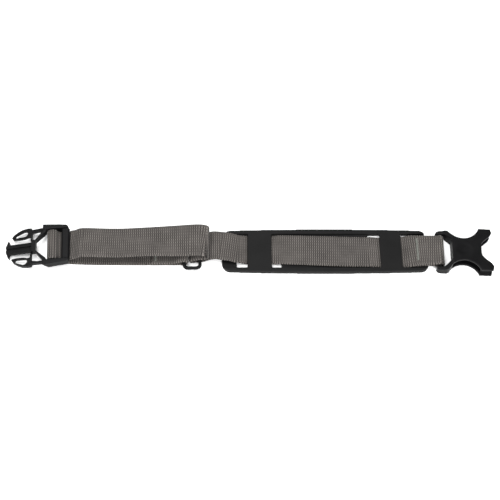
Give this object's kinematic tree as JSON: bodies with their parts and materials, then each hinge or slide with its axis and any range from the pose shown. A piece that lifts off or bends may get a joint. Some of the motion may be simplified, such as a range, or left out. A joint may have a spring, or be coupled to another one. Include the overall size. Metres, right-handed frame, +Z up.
{
  "type": "webbing strap with side-release buckles and threaded pad",
  "caption": "Grey webbing strap for field gear, with a plug and a socket side-release buckle, a slotted rubber pad threaded on it and a slider loop.",
  "frame": {"origin": "centre of the whole strap's box, on the surface that it lies on", "axes": "+X along the strap towards the socket buckle, +Z up out of the flat strap, +Y across it"},
  "size_m": [0.3718, 0.0405, 0.0133],
  "materials": {
    "webbing": "woven, matte",
    "thread": "twisted thread, slight sheen",
    "rubber": "moulded, satin with fine texture",
    "plastic": "moulded acetal, satin"
  },
  "bodies": {
    "pad": {"pad": "rubber", "web_right_bridge": "webbing", "web_middle": "webbing", "web_left_bridge": "webbing"},
    "right_run": {"female_loop": "webbing", "right_span": "webbing", "bartack_female_end": "thread"},
    "socket": {"female_top_shell": "plastic", "female_bottom_shell": "plastic", "female_rear_wall": "plastic", "female_web_legs": "plastic", "female_web_bar": "plastic", "female_mouth_ribs": "plastic", "female_guide_rib": "plastic"},
    "left_run": {"left_span": "webbing"},
    "slider": {"slider_loop": "plastic", "slider_bulge": "webbing", "slider_sewn_loop": "webbing", "bartack_slider_end": "thread"},
    "plug_run": {"top_ply": "webbing", "lower_ply": "webbing", "male_wrap": "webbing"},
    "plug": {"male_side_rails": "plastic", "male_front_bar": "plastic", "male_rear_bar": "plastic", "male_yoke": "plastic", "male_tongue": "plastic"},
    "arm_left": {"male_arm_left": "plastic"},
    "arm_right": {"male_arm_right": "plastic"}
  },
  "joints": [
    {"name": "strap_run_right", "type": "slide", "parent": "pad", "child": "right_run", "axis": [1, 0, 0], "range_m": [-0.004, 0.008], "deforming": ["right_span"]},
    {"name": "strap_run_left", "type": "slide", "parent": "pad", "child": "left_run", "axis": [1, 0, 0], "range_m": [-0.004, 0.008]},
    {"name": "slider_slide", "type": "slide", "parent": "left_run", "child": "slider", "axis": [1, 0, 0], "range_m": [-0.08, 0.005], "deforming": ["left_span"]},
    {"name": "plug_slide", "type": "slide", "parent": "slider", "child": "plug_run", "axis": [1, 0, 0], "range_m": [-0.0025, 0.04], "deforming": ["top_ply", "lower_ply"]},
    {"name": "plug_tilt", "type": "hinge", "parent": "plug_run", "child": "plug", "pos_m": [-0.14293, 0.00357, 0.00675], "axis": [-0.0785, 0.9969, 0], "range_deg": [-20, 20], "deforming": ["male_wrap"]},
    {"name": "arm_left_flex", "type": "hinge", "parent": "plug", "child": "arm_left", "pos_m": [-0.16027, 0.01635, 0.00619], "axis": [-0.1387, -0.0109, 0.9903], "range_deg": [0, 8], "stiffness_Nm_per_rad": 0.6},
    {"name": "arm_right_flex", "type": "hinge", "parent": "plug", "child": "arm_right", "pos_m": [-0.15806, -0.01176, 0.00619], "axis": [-0.1387, -0.0109, 0.9903], "range_deg": [-8, 0], "stiffness_Nm_per_rad": 0.6},
    {"name": "socket_swing", "type": "hinge", "parent": "right_run", "child": "socket", "pos_m": [0.1448, -0.0013, 0.0039], "axis": [0.0349, 0.9994, 0], "range_deg": [-90, 90]}
  ],
  "couplings": [
    {"joint": "strap_run_left", "follows": "strap_run_right", "ratio": 1},
    {"joint": "plug_slide", "follows": "slider_slide", "ratio": -0.5}
  ]
}
